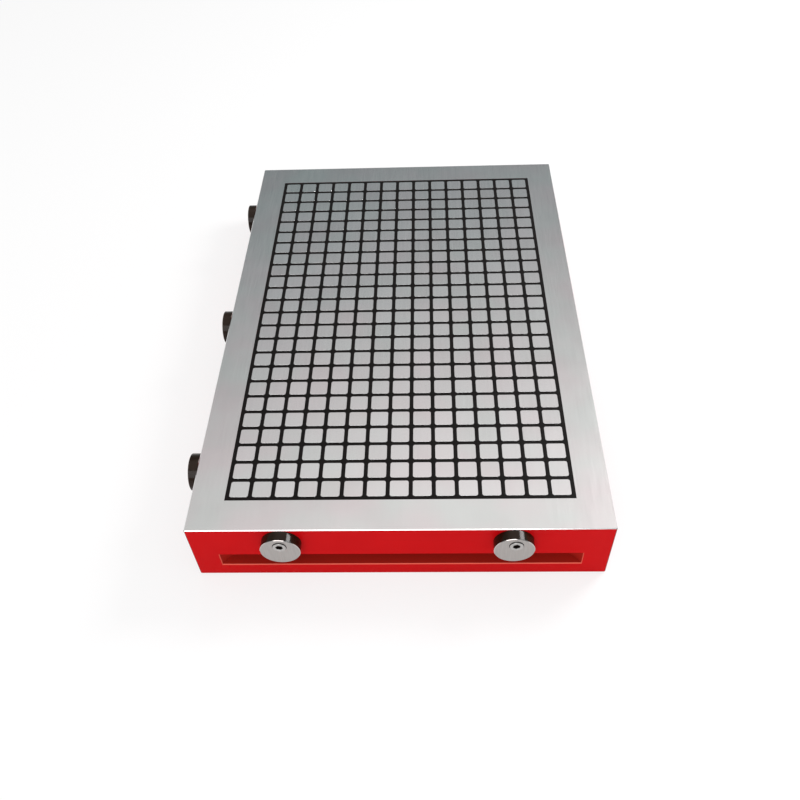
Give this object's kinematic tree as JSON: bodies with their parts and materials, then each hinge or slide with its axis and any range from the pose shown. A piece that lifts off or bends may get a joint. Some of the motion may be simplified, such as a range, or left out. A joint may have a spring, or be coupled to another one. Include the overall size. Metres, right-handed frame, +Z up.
{
  "type": "magnetic chuck",
  "caption": "Rectangular permanent magnetic chuck with a grid of square poles, red housing, end clamping groove, eccentric edge stops and a key-turned magnet carriage.",
  "frame": {"origin": "centre of the flat underside of the housing, on the plane it rests on", "axes": "+Z up out of the work face, +Y along the length away from the clamping groove and the two end stops, +X to the right, towards the drive socket"},
  "size_m": [0.4145, 0.6145, 0.077],
  "materials": {
    "red_paint": "gloss",
    "ground_steel": "ground",
    "pole_steel": "ground",
    "cast_resin": "ground flush",
    "seal_rubber": "matte",
    "screw_steel": "black oxide",
    "bronze": "machined",
    "flange_steel": "black oxide",
    "stop_steel": "ground faces, dark rims",
    "shaft_steel": "machined",
    "yoke_steel": "ground",
    "carrier_aluminium": "milled",
    "magnet_nickel": "nickel plated"
  },
  "bodies": {
    "chuck_body": {"base_housing": "red_paint", "top_frame": "ground_steel", "pole_blocks": "pole_steel", "resin_grid": "cast_resin", "panel_seal": "seal_rubber", "panel_screws": "screw_steel", "wear_strip_left": "bronze", "wear_strip_right": "bronze", "side_guide_left": "bronze", "side_guide_right": "bronze", "outer_bush": "bronze", "inner_bush": "bronze", "bearing_flange": "flange_steel", "flange_screws": "screw_steel", "shaft_seal": "seal_rubber", "stop_screws": "screw_steel"},
    "magnet_carriage": {"yoke_plate": "yoke_steel", "carrier_frame": "carrier_aluminium", "north_magnets": "magnet_nickel", "south_magnets": "magnet_nickel", "spacer_bars": "carrier_aluminium", "rack": "shaft_steel", "rack_screws": "screw_steel"},
    "drive": {"drive_shaft": "shaft_steel"},
    "stop_front_left": {"stop_disc_front_left": "stop_steel"},
    "stop_front_right": {"stop_disc_front_right": "stop_steel"},
    "stop_side_front": {"stop_disc_side_front": "stop_steel"},
    "stop_side_middle": {"stop_disc_side_middle": "stop_steel"},
    "stop_side_rear": {"stop_disc_side_rear": "stop_steel"}
  },
  "joints": [
    {"name": "magnet_shift", "type": "slide", "parent": "chuck_body", "child": "magnet_carriage", "axis": [0, 1, 0], "range_m": [0, 0.011]},
    {"name": "drive_turn", "type": "hinge", "parent": "chuck_body", "child": "drive", "pos_m": [0.199, 0, 0.022], "axis": [-1, 0, 0], "range_deg": [0, 90]},
    {"name": "turn_stop_front_left", "type": "hinge", "parent": "chuck_body", "child": "stop_front_left", "pos_m": [-0.1106, -0.3, 0.0655], "axis": [0, -1, 0], "continuous": true},
    {"name": "turn_stop_front_right", "type": "hinge", "parent": "chuck_body", "child": "stop_front_right", "pos_m": [0.1082, -0.3, 0.0655], "axis": [0, -1, 0], "continuous": true},
    {"name": "turn_stop_side_front", "type": "hinge", "parent": "chuck_body", "child": "stop_side_front", "pos_m": [-0.2, -0.217, 0.0655], "axis": [-1, 0, 0], "continuous": true},
    {"name": "turn_stop_side_middle", "type": "hinge", "parent": "chuck_body", "child": "stop_side_middle", "pos_m": [-0.2, -0.0035, 0.0655], "axis": [-1, 0, 0], "continuous": true},
    {"name": "turn_stop_side_rear", "type": "hinge", "parent": "chuck_body", "child": "stop_side_rear", "pos_m": [-0.2, 0.21, 0.0655], "axis": [-1, 0, 0], "continuous": true}
  ],
  "couplings": [
    {"joint": "drive_turn", "follows": "magnet_shift", "rad_per_m": 142.8}
  ]
}
